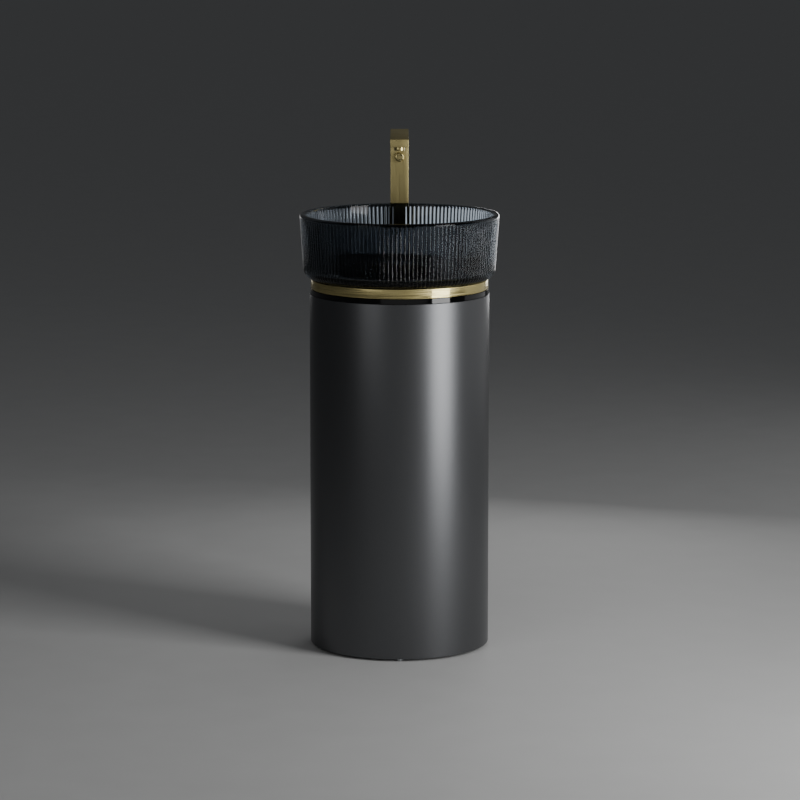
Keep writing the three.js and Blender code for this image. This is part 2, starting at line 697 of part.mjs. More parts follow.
// A braided hose from its valve up the column, through the rear window and up inside the tap.
function hose(side) {
  const tail = 3.5; // half the spacing inside the tap
  const route = [
    [VALVE_X, VALVE_Y, VALVE_TOP + 2],
    [VALVE_X, VALVE_Y, 200],
    [VALVE_X, VALVE_Y, 420],
    [34, 112, 560],
    [17, 134, 660],
    [8, 168, 694],
    [tail, 206, 694],
    [tail, 228, 702],
    [tail, TAP_Y, 724],
    [tail, TAP_Y, 760],
    [tail, TAP_Y, 870],
    [tail, TAP_Y, KNOB_HEIGHT - 8.6],
  ];
  const points = route.map(([x, y, z]) => new THREE.Vector3(side * x, y, z));
  const path = new THREE.CatmullRomCurve3(points, false, "centripetal");
  const section = new THREE.Shape(circle(HOSE_RADIUS, SMALL));
  return new THREE.ExtrudeGeometry(section, { steps: 48, extrudePath: path });
}

function buildSupply() {
  piece("valve_bracket", valveBracket(), "zinc");
  for (const [name, side, lever] of [["hot", -1, "redLever"], ["cold", 1, "blueLever"]]) {
    const station = new THREE.Group();
    station.position.set(side * VALVE_X, VALVE_Y, 0);
    onAxis.add(station);
    piece(`stop_valve_${name}`, stopValve(), "chrome", station);
    const lock = piece(`valve_lock_nut_${name}`, nut(14.5, VALVE_THREAD + GAP, 6), "brass", station);
    lock.position.z = SHELF_TOP - 3 - 6 - GAP;
    piece(`valve_handle_${name}`, valveHandle(), lever, station).position.z = SPINDLE_HEIGHT;
    piece(`hose_nut_${name}`, hoseNut(), "chrome", station);
    piece(`hose_${name}`, hose(side), "braid");
  }
}

// ---------------------------------------------------------------- tap
// An upright box tube with a thick end for the shank and a round seat for the cartridge.
function tapPillar() {
  const [halfX, halfY, wall] = [BAR_WIDTH / 2, PILLAR_DEPTH / 2, PILLAR_WALL];
  const top = SPOUT_BOTTOM - GAP;
  const tube = block(-halfX, halfX, TAP_Y - halfY, TAP_Y + halfY, PILLAR_BOTTOM, top);
  const [x, y] = [halfX - wall, halfY - wall];
  const inside = block(-x, x, TAP_Y - y, TAP_Y + y, PILLAR_BOTTOM + 8, top + 5);
  const shankHole = rod(SHANK_RADIUS + GAP, PILLAR_BOTTOM - 5, PILLAR_BOTTOM + 10, MEDIUM);
  shankHole.translate(0, TAP_Y, 0);
  const seat = rod(CARTRIDGE_RADIUS + GAP, 0, 10, MEDIUM).rotateX(-Math.PI / 2);
  seat.translate(0, TAP_Y - halfY - 5, KNOB_HEIGHT);
  return cut(tube, inside, shankHole, seat);
}

// A flat bar over the pillar, reaching to the middle of the basin, with a waterway inside.
function tapSpout() {
  const back = TAP_Y + PILLAR_DEPTH / 2;
  const half = BAR_WIDTH / 2;
  const bar = block(-half, half, SPOUT_FRONT, back, SPOUT_BOTTOM, SPOUT_TOP);
  const way = WATERWAY_HALF_WIDTH;
  const waterway = block(-way, way, OUTLET_Y - 7, back - 8, SPOUT_BOTTOM + 4, SPOUT_TOP - 4);
  const riser = block(-way, way, back - 20, back - 8, SPOUT_BOTTOM - 5, SPOUT_TOP - 6);
  const outlet = rod(OUTLET_BORE, SPOUT_BOTTOM - 5, SPOUT_TOP - 6, MEDIUM).translate(0, OUTLET_Y, 0);
  return cut(bar, waterway, riser, outlet);
}

function aeratorHousing() {
  const seat = SPOUT_BOTTOM - GAP;
  const mouth = seat - 7.7;
  const { outer, inner } = AERATOR;
  const neck = OUTLET_BORE - GAP;
  const sleeve = turned([
    [inner, mouth],
    [outer - 0.6, mouth],
    [outer, mouth + 0.6],
    [outer, seat],
    [neck, seat],
    [neck, seat + 4],
    [6, seat + 4],
    [6, seat - 2],
    [inner, seat - 2],
    [inner, mouth],
  ], MEDIUM);
  return sleeve.translate(0, OUTLET_Y, 0);
}

// The perforated disc that breaks up the jet.
function aeratorInsert() {
  const jet = 1.1;
  const jets = [0, 60, 120, 180, 240, 300].map((angle) => circle(jet, 6, ...polar(5, angle)));
  const disc = plate(circle(AERATOR.inner - GAP, MEDIUM), [...jets, circle(jet, 6)], 3);
  return disc.translate(0, OUTLET_Y, SPOUT_BOTTOM - 6.6);
}

// A round domed knob on the front of the pillar, turned about Z and laid to face -Y.
function controlKnob() {
  const [radius, length] = [9.75, 11.5];
  const socket = SPINDLE_OF_KNOB + GAP;
  return turned([
    [0, -length],
    [radius - 3.2, 0.4 - length],
    [radius - 1, 1.6 - length],
    [radius, 3.5 - length],
    [radius, 0],
    [socket, 0],
    [socket, -6],
    [0, -6],
  ], MEDIUM).rotateX(-Math.PI / 2);
}

// The mixing cartridge: a round body in its seat and the spindle that the knob sits on.
function mixerCartridge() {
  const length = 18.5;
  const spindle = [[0, -5], [SPINDLE_OF_KNOB, -5], [SPINDLE_OF_KNOB, 0]];
  const body = [[CARTRIDGE_RADIUS, 0], [CARTRIDGE_RADIUS, length], [0, length]];
  return turned([...spindle, ...body], MEDIUM).rotateX(-Math.PI / 2);
}

function buildTap() {
  const [halfX, halfY] = [BAR_WIDTH / 2 - 0.5, PILLAR_DEPTH / 2 - 0.5];
  const footprint = [[-halfX, -halfY], [halfX, -halfY], [halfX, halfY], [-halfX, halfY]];
  const outline = footprint.map(([x, y]) => new THREE.Vector2(x, y));
  const gasket = plate(outline, [circle(SHANK_RADIUS + GAP, MEDIUM)], PILLAR_BOTTOM - PLATE_TOP - 2 * GAP);
  piece("tap_gasket", gasket, "rubber").position.set(0, TAP_Y, PLATE_TOP + GAP);
  const shank = ring(7.4, SHANK_RADIUS, 716, PILLAR_BOTTOM + 6, MEDIUM);
  piece("tap_shank", shank, "brass").position.y = TAP_Y;
  const clampThickness = 9;
  const clamp = piece("tap_clamp_nut", nut(13, SHANK_RADIUS + GAP, clampThickness), "brass");
  clamp.position.set(0, TAP_Y, PLATE_BOTTOM - clampThickness - GAP);
  piece("tap_pillar", tapPillar(), "gold");
  piece("tap_spout", tapSpout(), "gold");
  piece("aerator_housing", aeratorHousing(), "gold");
  piece("aerator_insert", aeratorInsert(), "whitePlastic");
  const face = TAP_Y - PILLAR_DEPTH / 2;
  piece("control_knob", controlKnob(), "gold").position.set(0, face - 0.5, KNOB_HEIGHT);
  piece("mixer_cartridge", mixerCartridge(), "brass").position.set(0, face + GAP, KNOB_HEIGHT);
}

buildBase();
buildColumn();
buildTop();
buildDrain();
buildTrap();
buildSupply();
buildTap();

export default sink;
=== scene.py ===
# %% [markdown]
# # A column washbasin, finished in Blender
#
# The solid model already fixes every size, so this lesson only adds looks: fine meshes for the
# pieces that show, and a material for each real finish. It starts by loading the solid model.

# %% Load the fixed frame
import json
import math

import bmesh
import bpy
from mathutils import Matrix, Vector


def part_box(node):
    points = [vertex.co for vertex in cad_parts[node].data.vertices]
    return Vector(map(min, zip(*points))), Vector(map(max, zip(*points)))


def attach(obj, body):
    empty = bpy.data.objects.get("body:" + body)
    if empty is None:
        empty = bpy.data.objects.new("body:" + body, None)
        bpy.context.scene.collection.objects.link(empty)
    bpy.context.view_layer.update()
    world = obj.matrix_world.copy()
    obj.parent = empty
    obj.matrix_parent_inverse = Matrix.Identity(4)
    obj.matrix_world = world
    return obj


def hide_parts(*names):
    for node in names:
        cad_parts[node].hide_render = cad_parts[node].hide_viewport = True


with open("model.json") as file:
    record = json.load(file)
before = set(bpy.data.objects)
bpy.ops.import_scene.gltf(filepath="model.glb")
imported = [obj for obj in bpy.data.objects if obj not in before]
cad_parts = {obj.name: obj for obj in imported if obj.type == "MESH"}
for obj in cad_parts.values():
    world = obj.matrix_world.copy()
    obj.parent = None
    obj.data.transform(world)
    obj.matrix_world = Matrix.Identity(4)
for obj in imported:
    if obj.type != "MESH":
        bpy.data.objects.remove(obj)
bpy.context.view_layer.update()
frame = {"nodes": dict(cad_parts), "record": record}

# %% [markdown]
# The loader gives metres, and a maker thinks in millimetres, so one constant turns one into the
# other. The column's axis is the middle of its own box, and every turned piece shares it.

# %% Units and the column's axis
MM = 0.001


def corners(node):
    """The lowest and highest corners of a solid, as vectors."""
    low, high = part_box(node)
    return Vector(low), Vector(high)


column_low, column_high = corners("column_shell")
AXIS = (column_low + column_high) / 2
AXIS.z = 0
print("axis at y =", round(AXIS.y / MM, 2), "mm")

# %% [markdown]
# ## Meshes
#
# Nearly everything here is turned on a lathe, folded from sheet or sawn from bar. A lathe piece is
# an outline spun about an axis. It could be made with the Screw modifier, but writing the rings
# by hand keeps the seam closed and lets an outline carry a fillet at each corner.

# %% Outlines with filleted corners
EDGE_SHARE = 0.49  # the most of an edge that one fillet may use
ON_AXIS = 1e-6  # a radius in mm below which a point is on the axis


def rounded(outline, steps=4):
    """A closed outline of (radius, height, fillet) corners in mm, each fillet drawn as an arc."""
    points = []
    count = len(outline)
    for i, (r, z, fillet) in enumerate(outline):
        here = Vector((r, z))
        before = Vector(outline[i - 1][:2]) - here
        after = Vector(outline[(i + 1) % count][:2]) - here
        if fillet <= 0 or before.length == 0 or after.length == 0:
            points.append(here)
            continue
        half = before.angle(after) / 2
        room = min(before.length, after.length) * EDGE_SHARE
        reach = min(fillet / math.tan(half), room)
        start = here + before.normalized() * reach
        end = here + after.normalized() * reach
        for step in range(steps + 1):
            t = step / steps
            points.append(start * (1 - t) ** 2 + here * 2 * t * (1 - t) + end * t**2)
    return points


def finished(name, bm, body, replaced=(), sharp=35):
    """Turns a bmesh into a piece that rides on a body and stands for its solids."""
    bmesh.ops.remove_doubles(bm, verts=bm.verts, dist=1e-6)
    bmesh.ops.recalc_face_normals(bm, faces=bm.faces)
    mesh = bpy.data.meshes.new(name)
    bm.to_mesh(mesh)
    bm.free()
    mesh.shade_smooth()
    mesh.set_sharp_from_angle(angle=math.radians(sharp))
    piece = bpy.data.objects.new(name, mesh)
    bpy.context.scene.collection.objects.link(piece)
    if body:
        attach(piece, body)
    if replaced:
        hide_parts(*replaced)
    return piece


def spun(outline, sides, centre=AXIS, axis="z"):
    """A bmesh from a closed outline spun about an axis through centre."""
    bm = bmesh.new()
    rings = []
    for k in range(sides):
        angle = 2 * math.pi * k / sides
        c, s = math.cos(angle), math.sin(angle)
        ring = []
        for r, h in outline:
            across, up, along = r * c * MM, r * s * MM, h * MM
            place = {"z": (across, up, along), "y": (across, along, up), "x": (along, across, up)}[axis]
            ring.append(bm.verts.new(centre + Vector(place)))
        rings.append(ring)
    for k in range(sides):
        a, b = rings[k], rings[(k + 1) % sides]
        for i in range(len(outline)):
            j = (i + 1) % len(outline)
            quad = [a[i], b[i], b[j], a[j]]
            if max(outline[i][0], outline[j][0]) < ON_AXIS:
                continue
            if outline[j][0] < ON_AXIS:
                quad = [a[i], b[i], b[j]]
            elif outline[i][0] < ON_AXIS:
                quad = [a[i], b[j], a[j]]
            bm.faces.new(quad)
    return bm


def turned(name, outline, body, replaced, sides=96, centre=AXIS, axis="z"):
    """A lathe piece from (radius, height, fillet) corners."""
    return finished(name, spun(rounded(outline), sides, centre, axis), body, replaced)


square_corner = [(0, 0, 0), (10, 0, 2), (10, 10, 0)]
print("a filleted corner has", len(rounded(square_corner)) - 2, "points")


# %% [markdown]
# Bars and boxes have no truly sharp edges: the saw, the file and the coat leave a small round that
# catches the light. A bevel on a box gives that line of light. Holes are cut with an exact
# Boolean, applied at once so that the mesh itself holds the shape.

# %% Bars, boxes and cuts


def bar(low, high, edge, steps=3):
    """A bmesh box between two corners in metres, its edges rounded by edge mm."""
    bm = bmesh.new()
    bmesh.ops.create_cube(bm, size=1)
    size, middle = Vector(high) - Vector(low), (Vector(low) + Vector(high)) / 2
    for v in bm.verts:
        v.co = Vector(v.co[i] * size[i] + middle[i] for i in range(3))
    if edge:
        bmesh.ops.bevel(bm, geom=bm.edges, offset=edge * MM, segments=steps, profile=0.5, affect="EDGES")
    return bm


def tool_from(bm):
    """A loose object for cutting, which is thrown away after its cut."""
    return finished("tool", bm, None, sharp=60)


def round_tool(radius, bottom, top, sides, centre=AXIS, axis="z"):
    """A cylinder for cutting, in mm along its axis from centre."""
    outline = [Vector(point) for point in ((0, bottom), (radius, bottom), (radius, top), (0, top))]
    return finished("tool", spun(outline, sides, centre, axis), None)


def applied(piece, sharp=35):
    """Bakes a piece's modifiers into its mesh."""
    graph = bpy.context.evaluated_depsgraph_get()
    mesh = bpy.data.meshes.new_from_object(piece.evaluated_get(graph))
    piece.modifiers.clear()
    piece.data = mesh
    mesh.shade_smooth()
    mesh.set_sharp_from_angle(angle=math.radians(sharp))
    return piece


def carved(piece, *tools, operation="DIFFERENCE"):
    """Cuts each tool out of a piece."""
    for tool in tools:
        cut = piece.modifiers.new("cut", "BOOLEAN")
        cut.operation = operation
        cut.object = tool
        cut.solver = "EXACT"
        applied(piece)
        bpy.data.objects.remove(tool)
    return piece


# %% [markdown]
# ## Materials
#
# A finish starts from a colour that a person can read as hex. Blender works in linear light, so
# one function converts it. Another adds a node with its settings and its links, or sets and links
# the shader itself, and every material is built with those two.

# %% Colour and nodes


def linear(hexcode):
    """An sRGB hex colour as linear RGBA."""
    channels = [int(hexcode[i : i + 2], 16) / 255 for i in (1, 3, 5)]
    return [c / 12.92 if c <= 0.04045 else ((c + 0.055) / 1.055) ** 2.4 for c in channels] + [1]


def node(tree, kind, inputs=None, **settings):
    """Adds a node. Each input is set to its value, or linked if it is given a socket."""
    made = kind if isinstance(kind, bpy.types.Node) else tree.nodes.new(kind)
    for key, value in settings.items():
        setattr(made, key, value)
    for key, value in (inputs or {}).items():
        if isinstance(value, bpy.types.NodeSocket):
            tree.links.new(value, made.inputs[key])
        else:
            made.inputs[key].default_value = value
    return made


def new_material(name):
    """A material, its node tree, its shader, and the place on the piece in metres."""
    material = bpy.data.materials.new(name)
    material.use_nodes = True
    tree = material.node_tree
    place = node(tree, "ShaderNodeTexCoord").outputs["Object"]
    return material, tree, tree.nodes["Principled BSDF"], place


def per(size):
    """Pattern cells in a metre, for one cell of this many mm."""
    return 1 / (size * MM)


print("mid grey #808080 is", round(linear("#808080")[0], 3), "in linear light")


# %% [markdown]
# ### Metallic lacquer on rolled steel
#
# The column is steel sheet, sprayed with a grey lacquer full of fine aluminium flake and left
# satin. The flake makes it behave as a metal and the satin coat blurs what it mirrors. Flakes are
# finer than a tenth of a millimetre, so they are drawn at one millimetre to show at all. Spraying
# leaves a very faint orange peel a few millimetres across, which goes into the bump.

# %% Metallic lacquer


def metallic_lacquer():
    material, tree, shader, place = new_material("metallic_lacquer")
    flake = node(tree, "ShaderNodeTexNoise", {"Vector": place, "Scale": per(1.0), "Detail": 3.0}).outputs[0]
    peel = node(tree, "ShaderNodeTexNoise", {"Vector": place, "Scale": per(5.0), "Detail": 1.0}).outputs[0]
    greys = {0: flake, 6: linear("#5b5c5e"), 7: linear("#68696b")}
    satin = {"Value": flake, "To Min": 0.33, "To Max": 0.38}
    bump = {"Height": peel, "Distance": 0.02 * MM, "Strength": 0.2}
    looks = {
        "Base Color": node(tree, "ShaderNodeMix", greys, data_type="RGBA").outputs[2],
        "Roughness": node(tree, "ShaderNodeMapRange", satin).outputs[0],
        "Normal": node(tree, "ShaderNodeBump", bump).outputs[0],
        "Metallic": 0.92,
    }
    node(tree, shader, looks)
    return material


METALLIC_LACQUER = metallic_lacquer()
print("made", METALLIC_LACQUER.name)

# %% [markdown]
# ### Black gloss lacquer
#
# The thin plate under the collar is polished black lacquer. Like any clear coat it mirrors about
# four parts in a hundred head on, so it reads as a black line with one sharp lamp in it. What
# little unevenness it has is dust in the last coat and a slow wave from flatting by hand.

# %% Black gloss lacquer


def black_gloss_lacquer():
    material, tree, shader, place = new_material("black_gloss_lacquer")
    dust = node(tree, "ShaderNodeTexNoise", {"Vector": place, "Scale": per(1.6), "Detail": 4.0}).outputs[0]
    wave = node(tree, "ShaderNodeTexNoise", {"Vector": place, "Scale": per(25), "Detail": 1.0}).outputs[0]
    blacks = {0: dust, 6: linear("#030303"), 7: linear("#080809")}
    gloss = {"Value": dust, "To Min": 0.03, "To Max": 0.08}
    bump = {"Height": wave, "Distance": 0.02 * MM, "Strength": 0.15}
    looks = {
        "Base Color": node(tree, "ShaderNodeMix", blacks, data_type="RGBA").outputs[2],
        "Roughness": node(tree, "ShaderNodeMapRange", gloss).outputs[0],
        "Normal": node(tree, "ShaderNodeBump", bump).outputs[0],
    }
    node(tree, shader, looks)
    return material


BLACK_GLOSS = black_gloss_lacquer()
print("made", BLACK_GLOSS.name)

# %% [markdown]
# ### Brushed pale gold
#
# The collar and the tap are brass, brushed and then plated a pale champagne gold. Brushing leaves
# hair-thin grooves with polished lands between them. The lands still mirror a lamp with crisp
# edges, while the grooves spread its light wide, so the metal shows both at once. Noise that is
# stretched two hundred times along one direction gives the lands a low roughness and the grooves
# a high one. Each piece names its direction: round the collar, up the pillar, along the spout.
# Real grooves are near 0.05 mm apart, drawn at 0.4 mm so that they show from close by.

# %% Brushed pale gold
GROOVE = 0.4
GROOVE_LENGTH = 80


def brushed_gold(name, grooves, lands=0.08, cuts=0.5):
    """Grooves are the mm from groove to groove along x, y and z; lands and cuts are roughness."""
    material, tree, shader, place = new_material(name)
    stretch = {"Vector": place, "Scale": [per(size) for size in grooves]}
    along = node(tree, "ShaderNodeMapping", stretch).outputs[0]
    brush = node(tree, "ShaderNodeTexNoise", {"Vector": along, "Scale": 1.0, "Detail": 3.0}).outputs[0]
    patch = node(tree, "ShaderNodeTexNoise", {"Vector": place, "Scale": per(30), "Detail": 1.0}).outputs[0]
    golds = {0: patch, 6: linear("#c3b57d"), 7: linear("#d0c28a")}
    contrast = {"Value": brush, "From Min": 0.43, "From Max": 0.53, "To Min": lands, "To Max": cuts}
    bump = {"Height": brush, "Distance": 0.006 * MM, "Strength": 0.2}
    looks = {
        "Base Color": node(tree, "ShaderNodeMix", golds, data_type="RGBA").outputs[2],
        "Roughness": node(tree, "ShaderNodeMapRange", contrast).outputs[0],
        "Normal": node(tree, "ShaderNodeBump", bump).outputs[0],
        "Metallic": 1.0,
    }
    node(tree, shader, looks)
    return material


GOLD_ROUND = brushed_gold("brushed_gold_round", (GROOVE_LENGTH, GROOVE_LENGTH, GROOVE))
GOLD_UPRIGHT = brushed_gold("brushed_gold_upright", (GROOVE, GROOVE, GROOVE_LENGTH), 0.35)
GOLD_FORWARD = brushed_gold("brushed_gold_forward", (GROOVE, GROOVE_LENGTH, GROOVE), 0.35)
GOLD_TURNED = brushed_gold("turned_gold", (2, 2, 2), 0.06, 0.4)
print("grooves", GROOVE, "mm apart and", GROOVE_LENGTH, "mm long")

# %% [markdown]
# ### Smoked glass
#
# The basin is soda-lime glass, tinted grey in the melt and pressed in a ribbed mould, then
# fire-polished until it is nearly mirror smooth. Glass bends light with an index of 1.52. The
# shader's colour is what is left of light after one wall: about a tenth, a little more in blue.
# The specular tint scales the mirror seen head on. Clean clear glass would keep the whole of it,
# and about a quarter matches how dull this basin is outside. That value is matched.

# %% Smoked glass


def smoked_glass():
    material, tree, shader, place = new_material("smoked_glass")
    streak = node(tree, "ShaderNodeTexNoise", {"Vector": place, "Scale": per(60), "Detail": 2.0}).outputs[0]
    bloom = node(tree, "ShaderNodeTexNoise", {"Vector": place, "Scale": per(3), "Detail": 3.0}).outputs[0]
    smokes = {0: streak, 6: linear("#545a60"), 7: linear("#5d636a")}
    polish = {"Value": bloom, "To Min": 0.0, "To Max": 0.05}
    bump = {"Height": bloom, "Distance": 0.004 * MM, "Strength": 0.1}
    looks = {
        "Base Color": node(tree, "ShaderNodeMix", smokes, data_type="RGBA").outputs[2],
        "Roughness": node(tree, "ShaderNodeMapRange", polish).outputs[0],
        "Normal": node(tree, "ShaderNodeBump", bump).outputs[0],
        "Transmission Weight": 1.0,
        "Specular Tint": (0.28, 0.28, 0.28, 1.0),
        "IOR": 1.52,
    }
    node(tree, shader, looks)
    return material


SMOKED_GLASS = smoked_glass()
print("made", SMOKED_GLASS.name)

# %% [markdown]
# ### Plumbing finishes
#
# What the column hides has plain trade finishes: bright zinc on steel, polished chrome on brass,
# bare turned brass, white polypropylene pipe, black sealing rubber, and coated levers. Each one
# has the mark of how it was made, such as spangle, turning rings or mould grain, so one function
# takes two shades, a range of roughness and the size of that mark in mm along x, y and z.

# %% Plumbing finishes


def trade_finish(name, dark, light, rough, mark, depth=0.01, metal=0.0):
    material, tree, shader, place = new_material(name)
    stretch = {"Vector": place, "Scale": [per(size) for size in mark]}
    along = node(tree, "ShaderNodeMapping", stretch).outputs[0]
    grain = node(tree, "ShaderNodeTexNoise", {"Vector": along, "Scale": 1.0, "Detail": 3.0}).outputs[0]
    shades = {0: grain, 6: linear(dark), 7: linear(light)}
    polish = {"Value": grain, "To Min": rough[0], "To Max": rough[1]}
    bump = {"Height": grain, "Distance": depth * MM, "Strength": 0.3}
    looks = {
        "Base Color": node(tree, "ShaderNodeMix", shades, data_type="RGBA").outputs[2],
        "Roughness": node(tree, "ShaderNodeMapRange", polish).outputs[0],
        "Normal": node(tree, "ShaderNodeBump", bump).outputs[0],
        "Metallic": metal,
    }
    node(tree, shader, looks)
    return material


ZINC = trade_finish("bright_zinc", "#a3a8ab", "#c3c6c8", (0.25, 0.5), (7, 7, 7), metal=1.0)
CHROME = trade_finish("chrome_plate", "#d4d6d8", "#e2e3e4", (0.04, 0.09), (10, 10, 2), metal=1.0)
TURNED_BRASS = trade_finish("turned_brass", "#b08d4a", "#c6a663", (0.25, 0.4), (10, 10, 0.5), metal=1.0)
WHITE_PIPE = trade_finish("white_polypropylene", "#d6d7d4", "#e6e6e3", (0.38, 0.5), (2.5, 2.5, 2.5))
RUBBER = trade_finish("sealing_rubber", "#111111", "#1c1c1c", (0.7, 0.9), (0.7, 0.7, 0.7), 0.03)
RED_LEVER = trade_finish("red_lever_coat", "#a0281f", "#b5382d", (0.35, 0.5), (1.5, 1.5, 1.5))
BLUE_LEVER = trade_finish("blue_lever_coat", "#245995", "#3068a8", (0.35, 0.5), (1.5, 1.5, 1.5))
print("finishes so far:", len(bpy.data.materials))

# %% [markdown]
# The hoses are rubber in a braid of stainless wire. Two sets of slanting bands that cross make
# the braid, about 1.5 mm from one bundle of wires to the next.

# %% Wire braid
BUNDLE = 1.5


def wire_braid():
    material, tree, shader, place = new_material("wire_braid")
    bands = []
    for lean in (1, -1):
        slope = {"Vector": place, "Scale": (per(BUNDLE), per(BUNDLE) * lean, per(BUNDLE))}
        slanted = node(tree, "ShaderNodeMapping", slope).outputs[0]
        wave = node(tree, "ShaderNodeTexWave", {"Vector": slanted, "Scale": 0.3}, bands_direction="DIAGONAL")
        bands.append(wave.outputs["Fac"])
    braid = node(tree, "ShaderNodeMath", {0: bands[0], 1: bands[1]}, operation="MULTIPLY").outputs[0]
    steels = {0: braid, 6: linear("#55585a"), 7: linear("#b9bcbe")}
    polish = {"Value": braid, "To Min": 0.5, "To Max": 0.3}
    bump = {"Height": braid, "Distance": 0.2 * MM, "Strength": 0.6}
    looks = {
        "Base Color": node(tree, "ShaderNodeMix", steels, data_type="RGBA").outputs[2],
        "Roughness": node(tree, "ShaderNodeMapRange", polish).outputs[0],
        "Normal": node(tree, "ShaderNodeBump", bump).outputs[0],
        "Metallic": 0.9,
    }
    node(tree, shader, looks)
    return material


WIRE_BRAID = wire_braid()
print("braid of bundles", BUNDLE, "mm apart")

# %% [markdown]
# ## The pieces that show
#
# ### Column wall
#
# The wall is 3 mm sheet, rolled and seam-welded, with its cut edges softened by about a
# millimetre so the coat doesn't chip. A narrow ledge inside sits on the base plate. At the back
# are the panel opening and the window for the hoses, cut out with blocks. The fine mesh has 256
# sides, so its silhouette and its reflections stay round.

# %% Column wall
SMOOTH_SIDES = 256
WALL = 3.0
LEDGE_DEPTH, LEDGE_GAP = 3.5, 0.3
HOSE_WINDOW = (28, 678, 726)  # half its width, its bottom and its top
PANEL_BOTTOM = 121.0  # the sheet's lower edge; the box also holds the hook under it
SEAM = 1.0
BACK_START, BACK_END = 100, 200  # mm behind the axis, from inside the wall to outside it
outer = (column_high.x - column_low.x) / 2 / MM
inner = outer - WALL
wall_bottom, wall_top = column_low.z / MM, column_high.z / MM
base_top = corners("base_plate")[1].z / MM
panel_low, panel_high = corners("access_panel")
panel_half = panel_high.x / MM
panel_top = panel_high.z / MM


def painted(piece, material):
    """Gives a piece one material."""
    piece.data.materials.clear()
    piece.data.materials.append(material)
    return piece


def rear_block(half, bottom, top):
    """A block through the back of the column, in mm from its axis."""
    low = AXIS + Vector((-half, BACK_START, bottom)) * MM
    high = AXIS + Vector((half, BACK_END, top)) * MM
    return tool_from(bar(low, high, 0))


def column_wall():
    ledge = base_top + LEDGE_GAP
    outline = [
        (inner, wall_bottom, 0.4),
        (outer, wall_bottom, 1.0),
        (outer, wall_top, 1.0),
        (inner, wall_top, 0.4),
        (inner, ledge + WALL, 0),
        (inner - LEDGE_DEPTH, ledge + WALL, 0.5),
        (inner - LEDGE_DEPTH, ledge, 0.5),
        (inner, ledge, 0),
    ]
    piece = turned("column_wall", outline, "sink", ["column_shell"], SMOOTH_SIDES)
    opening = rear_block(panel_half + SEAM, PANEL_BOTTOM - SEAM, panel_top + SEAM)
    window = rear_block(*HOSE_WINDOW)
    return painted(carved(piece, opening, window), METALLIC_LACQUER)


column_wall()
print("column", round(2 * outer, 1), "mm across,", round(wall_top - wall_bottom, 1), "mm tall")

# %% [markdown]
# ### Rear panel
#
# The plumber's way in is a sheet that hooks over the wall at its foot and takes two screws at its
# head. It is cut from the same cylinder as the wall, so a block keeps the part of a turned ring
# that lies in the opening, and the seam round it comes out even.

# %% Rear panel
HOOK_HALF = 60
HOOK_RISE = 20
HOOK_SLACK = 0.3
OVERLAP = 0.5


def rear_panel():
    """The cover sheet, with its hook below."""
    sheet = [
        (inner, PANEL_BOTTOM, 0.3),
        (outer, PANEL_BOTTOM, 0.6),
        (outer, panel_top, 0.6),
        (inner, panel_top, 0.3),
    ]
    piece = turned("rear_panel", sheet, "sink", ["access_panel"], SMOOTH_SIDES)
    carved(piece, rear_block(panel_half, PANEL_BOTTOM - 5, panel_top + 5), operation="INTERSECT")
    hook_low = panel_low.z / MM
    hook = [
        (inner - WALL, hook_low, 0.5),
        (inner - HOOK_SLACK, hook_low, 0.5),
        (inner - HOOK_SLACK, PANEL_BOTTOM, 0),
        (inner + OVERLAP, PANEL_BOTTOM + 1, 0),
        (inner + OVERLAP, PANEL_BOTTOM + HOOK_RISE, 0),
        (inner - WALL, PANEL_BOTTOM + HOOK_RISE, 0.5),
    ]
    strip = finished("tool", spun(rounded(hook), SMOOTH_SIDES), None)
    carved(strip, rear_block(HOOK_HALF, hook_low - 5, PANEL_BOTTOM + 30), operation="INTERSECT")
    return painted(carved(piece, strip, operation="UNION"), METALLIC_LACQUER)


rear_panel()
print("panel", round(2 * panel_half, 1), "by", round(panel_top - PANEL_BOTTOM, 1), "mm")

# %% [markdown]
# ### Top plate
#
# The gloss black plate is cut from 10 mm stock with a tongue at the back for the tap. It isn't a
# lathe shape, so its outline is drawn once and pushed up, its edges are bevelled, and the holes
# are cut last.

# %% Top plate
plate_low, plate_high = corners("top_plate")
PLATE_RADIUS = 183.0
TONGUE_HALF = 38.0
TONGUE_CORNER = 8
THROUGH = (730, 752)  # heights under and over the plate, so that each cut goes right through
CENTRE_HOLE = 60
TAP_HOLE, TAP_OFFSET = 9, 234
POST_HOLE, POST_CIRCLE = 4.3, 140
POST_ANGLES = (30, 150, 270)
tongue_end = (plate_high.y - AXIS.y) / MM


def arc(x, y, radius, start, end, steps):
    """Points of an arc in mm, angles in degrees."""
    sweep = [math.radians(start + (end - start) * i / steps) for i in range(steps + 1)]
    return [(x + radius * math.cos(a), y + radius * math.sin(a)) for a in sweep]


def plate_outline():
    meet = math.degrees(math.acos(TONGUE_HALF / PLATE_RADIUS))
    side, end = TONGUE_HALF - TONGUE_CORNER, tongue_end - TONGUE_CORNER
    edge = arc(0, 0, PLATE_RADIUS, 180 - meet, 360 + meet, 200)
    edge += arc(side, end, TONGUE_CORNER, 0, 90, 8)
    edge += arc(-side, end, TONGUE_CORNER, 90, 180, 8)
    return edge


